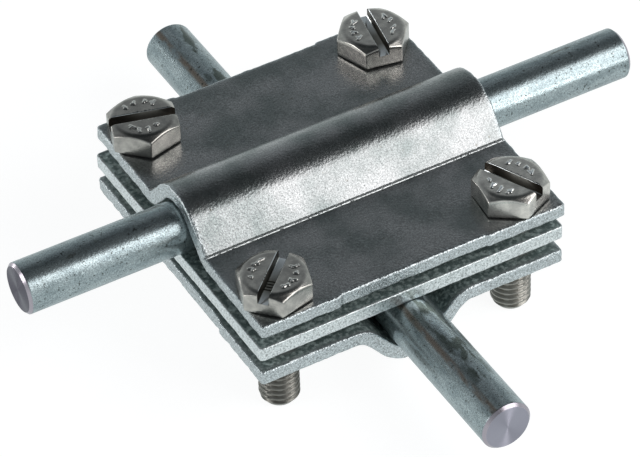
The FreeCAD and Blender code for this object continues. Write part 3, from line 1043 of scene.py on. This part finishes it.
def bolt_mesh(seed):
    """Bolt on the Z axis with the seat of its head at z = 0, as rows round the axis: end face,
    threaded shank that narrows to its point, underside, hexagon sides, cone, rim and marked top.
    Gives positions, quads and marks: the thread, and the raised marks, which the material paints
    near white as a highlight."""
    knots = [-30, -CORNER_START, CORNER_START, 30]
    steps = [CORNER_STEP, FLAT_STEP, CORNER_STEP]
    sector = [spaced([a, b], step)[:-1] for a, b, step in zip(knots, knots[1:], steps)]
    angles = np.radians((np.concatenate(sector) + 60 * np.arange(6)[:, None]).reshape(-1))
    one = 1 + 0 * angles
    reach = hexagon_reach(angles)

    # End face and shank
    end_r = np.linspace(0.3, 0.97, 6)[:, None] * POINT_R * one
    end_z = -BOLT_LENGTH + POINT_HOLLOW * (1 - end_r / POINT_R)
    shank_z = np.arange(-BOLT_LENGTH, 0, THREAD_PITCH / ROWS_PER_PITCH)[:, None] * one
    narrowing = POINT_R + (THREAD_R - POINT_R) * (shank_z + BOLT_LENGTH) / POINT_LENGTH
    shank_r = np.minimum(thread_radius(shank_z, angles), narrowing)

    # Underside and sides of the head, with eased edges
    share = np.array([0.0, 0.45, 0.9])[:, None]
    under_r = (reach - EDGE_EASE) * share + shank_r[-1] * (1 - share)
    under_r = np.vstack([under_r, reach - EDGE_EASE, reach - 0.3 * EDGE_EASE])
    under_z = np.array([0, 0, 0, 0, 0.3 * EDGE_EASE])[:, None] * one
    crest = head_height(reach)
    share = np.linspace(0, 1, 7)[:, None]
    wall_z = EDGE_EASE * (1 - share) + (crest - EDGE_EASE) * share
    wall_r = reach + 0 * wall_z
    shoulder_r = np.vstack([reach - 0.3 * EDGE_EASE, reach - 1.2 * EDGE_EASE])
    shoulder_z = np.vstack([crest - 0.3 * EDGE_EASE, head_height(shoulder_r[1])])

    # Cone, rim and disc. At the flats the rim starts inside the head's side, short of the cone.
    inner = HEAD_TOP_R - RIM_WIDTH
    rim_start = np.minimum(HEAD_TOP_R, shoulder_r[1] - 0.5 * EDGE_EASE)
    share = np.linspace(0, 1, 5)[1:, None]
    cone_r = shoulder_r[1] * (1 - share) + rim_start * share
    share = np.linspace(0, 1, 8)[1:, None]
    rim_r = rim_start * (1 - share) + inner * share
    marked_rings = np.arange(inner - EDGE_EASE, MARKED_RINGS_TO, -MARKED_RING_STEP)
    disc_r = np.concatenate([marked_rings, PLAIN_RINGS * MM])[:, None] * one
    raised = stamped_marks(disc_r * np.cos(angles), disc_r * np.sin(angles), seed)
    disc_z = head_height(disc_r) + MARK_HEIGHT * raised

    radii = np.vstack([end_r, shank_r, under_r, wall_r, shoulder_r, cone_r, rim_r, disc_r])
    top_z = [shoulder_z, head_height(cone_r), head_height(rim_r), disc_z]
    heights = np.vstack([end_z, shank_z, under_z, wall_z, *top_z])
    verts, quads = revolved(radii, heights, angles)
    thread = smooth((-verts[:, 2] / MM - 0.2) / 0.4)
    mark_highlight = 0 * thread
    mark_highlight[-2 - raised.size : -2] = raised.reshape(-1)
    return verts, quads, {"thread": thread, "mark_highlight": mark_highlight}


def slot_cutter(chattered):
    """Bar along X with the slot's section: a flat floor with eased corners, painted near white as
    light, upright sides painted dark brown, partly oil stain and partly painted shade, and a mouth
    that flares a little at the head's top. A chattering cutter left narrow steps across the floor,
    painted near black as shade."""
    half, top = SLOT_WIDTH / 2, HEAD_HEIGHT - MARK_HEIGHT
    steps = CHATTER_MIDDLES[:, None] + CHATTER_WIDTH * np.array([-0.5, -0.3, 0.3, 0.5])
    x = np.concatenate([[-CUTTER_REACH], steps.reshape(-1), [CUTTER_REACH]])
    deep = np.concatenate([[0], np.tile([0, 1, 1, 0], len(steps)), [0]]) * chattered
    floor_z = HEAD_HEIGHT - SLOT_DEPTH - CHATTER_DEPTH * deep
    flared = half + 2 * SLOT_EASE
    side = np.array([half - SLOT_EASE, half, half, flared, flared])
    rise = [floor_z, floor_z + SLOT_EASE]
    rise += [top + lift + 0 * x for lift in (-SLOT_EASE, SLOT_EASE, CUTTER_RISE)]
    rise = np.stack(rise + rise[::-1], -1)
    side = np.concatenate([side, -side[::-1]]) + 0 * rise
    rows = np.stack([x[:, None] + 0 * rise, side, rise], -1)
    numbers = np.arange(rise.size).reshape(rise.shape)
    caps = [numbers[0][::-1].tolist(), numbers[-1].tolist()]
    mesh = bpy.data.meshes.new("slot_cutter")
    mesh.from_pydata(rows.reshape(-1, 3).tolist(), [], closed_band(numbers).tolist() + caps)
    for material in (cold_headed_stainless, slot_floor_painted_light, chatter_painted_shade, browned_and_shaded_steel):
        mesh.materials.append(material)
    milled, shaded_steps, browned_and_shaded = 1, 2, 3
    # Every face starts as the floor, painted near white as light
    finish = np.full(rise[:-1].shape, milled)
    # The walls: dark brown, partly oil stain and partly painted shade
    finish[:, [1, 7]] = browned_and_shaded
    # The steps: near black, a painted shade
    finish[deep[:-1] + deep[1:] > 0, :] = shaded_steps
    mesh.polygons.foreach_set("material_index", np.append(finish.reshape(-1), [milled, milled]))
    cutter = bpy.data.objects.new("slot_cutter", mesh)
    bpy.context.scene.collection.objects.link(cutter)
    return cutter


# Near white of the raised marks, a painted highlight
MARK_PAINTED_HIGHLIGHT = "F2EFEA"
THREAD_STEEL = "86837D"
THREAD_ROUGHNESS = 0.38
STEEL_CLOUD = 1.8 * MM
STEEL_GRAIN = 0.4 * MM
# Scales of the steel for the most shaded and the most lit bolt, painted light and shade
SHADED_SCALE = 0.9
LIT_SCALE = 1.5


def stainless(name, dark, light, roughness, grain_height):
    """Stainless steel in faint clouds of two greys, with a duller thread, raised marks painted near
    white as a highlight, and each bolt's steel painted paler or darker as light and shade.
    """
    material, tree = new_material(name)
    place = add(tree, "ShaderNodeTexCoord").outputs["Object"]
    on_thread, on_mark, painted_light_level = [
        add(tree, "ShaderNodeAttribute", attribute_name=mark).outputs["Fac"]
        for mark in ("thread", "mark_highlight", "painted_light_level")
    ]
    cloud, grain = [
        add(
            tree, "ShaderNodeTexNoise", {"Vector": place, "Scale": 1 / width, "Detail": detail}
        ).outputs["Fac"]
        for width, detail in ((STEEL_CLOUD, 5.0), (STEEL_GRAIN, 2.0))
    ]
    clouded = add(tree, "ShaderNodeValToRGB", {"Fac": cloud}, stops=[(0.36, dark), (0.64, light)])
    # The raised marks are painted near white, a painted highlight
    marked = add(
        tree,
        "ShaderNodeMix",
        {0: on_mark, 6: clouded.outputs["Color"], 7: srgb(MARK_PAINTED_HIGHLIGHT)},
        data_type="RGBA",
    )
    threaded = add(
        tree,
        "ShaderNodeMix",
        {0: on_thread, 6: marked.outputs[2], 7: srgb(THREAD_STEEL)},
        data_type="RGBA",
    )
    # Each bolt's steel is scaled from a little darker to paler, painted light and shade
    paler = add(
        tree, "ShaderNodeMapRange", {"Value": painted_light_level, "To Min": SHADED_SCALE, "To Max": LIT_SCALE}
    )
    colour = add(
        tree,
        "ShaderNodeVectorMath",
        {0: threaded.outputs[2], 3: paler.outputs[0]},
        operation="SCALE",
    )
    bump = add(tree, "ShaderNodeBump", {"Height": grain, "Distance": grain_height})
    rough = add(
        tree, "ShaderNodeMix", {0: on_thread, 2: roughness, 3: THREAD_ROUGHNESS}, data_type="FLOAT"
    )
    steel = add(
        tree,
        "ShaderNodeBsdfPrincipled",
        {
            "Base Color": colour.outputs[0],
            "Metallic": 1.0,
            "Roughness": rough.outputs[0],
            "Normal": bump.outputs[0],
        },
    )
    add(tree, "ShaderNodeOutputMaterial", {"Surface": steel.outputs[0]})
    return material


# Cold-headed stainless steel: a warm grey, dulled by the tumbling after heading.
cold_headed_stainless = stainless(
    "cold_headed_stainless_steel", "ABA7A2", "C8C3BC", roughness=0.26, grain_height=0.014 * MM
)
# The slot's floor: milled steel, bluer and smooth, so it mirrors the pale studio, and painted near
# white, a painted light on a floor that the slot's walls shade.
slot_floor_painted_light = stainless(
    "milled_steel_painted_light", "EAEEF0", "FBFDFE", roughness=0.14, grain_height=0.006 * MM
)
# The slot's sides, dark brown: partly old cutting oil, partly painted shade.
browned_and_shaded_steel = stainless(
    "oil_browned_painted_shade_steel", "4A423A", "5C5248", roughness=0.4, grain_height=0.02 * MM
)
# Near black in the steps of the chattered slot, a painted shade.
chatter_painted_shade = stainless(
    "chatter_steps_painted_shade", "14120F", "1E1B17", roughness=0.5, grain_height=0.02 * MM
)

SHARP_FROM = math.radians(50)
for seed, (name, (slot_turn, painted_light_level)) in enumerate(BOLTS.items()):
    low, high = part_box(name)
    seat = np.array([(low.x + high.x) / 2, (low.y + high.y) / 2, low.z + BOLT_LENGTH])
    verts, quads, marks = bolt_mesh(seed)
    marks["painted_light_level"] = painted_light_level + 0 * marks["thread"]
    bolt = make_piece(name + "_screw", verts, quads, cold_headed_stainless, **marks)
    cutter = slot_cutter(name == "bolt_front")
    carve = bolt.modifiers.new("slot", "BOOLEAN")
    carve.operation = "DIFFERENCE"
    carve.solver = "EXACT"
    carve.object = cutter
    carve.material_mode = "TRANSFER"
    depsgraph = bpy.context.evaluated_depsgraph_get()
    carved = bpy.data.meshes.new_from_object(bolt.evaluated_get(depsgraph))
    bolt.modifiers.clear()
    bolt.data = carved
    bpy.data.objects.remove(cutter)
    carved.transform(Matrix.Translation(seat) @ Matrix.Rotation(math.radians(slot_turn), 4, "Z"))
    carved.set_sharp_from_angle(angle=SHARP_FROM)
    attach(bolt, name)
    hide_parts(name)
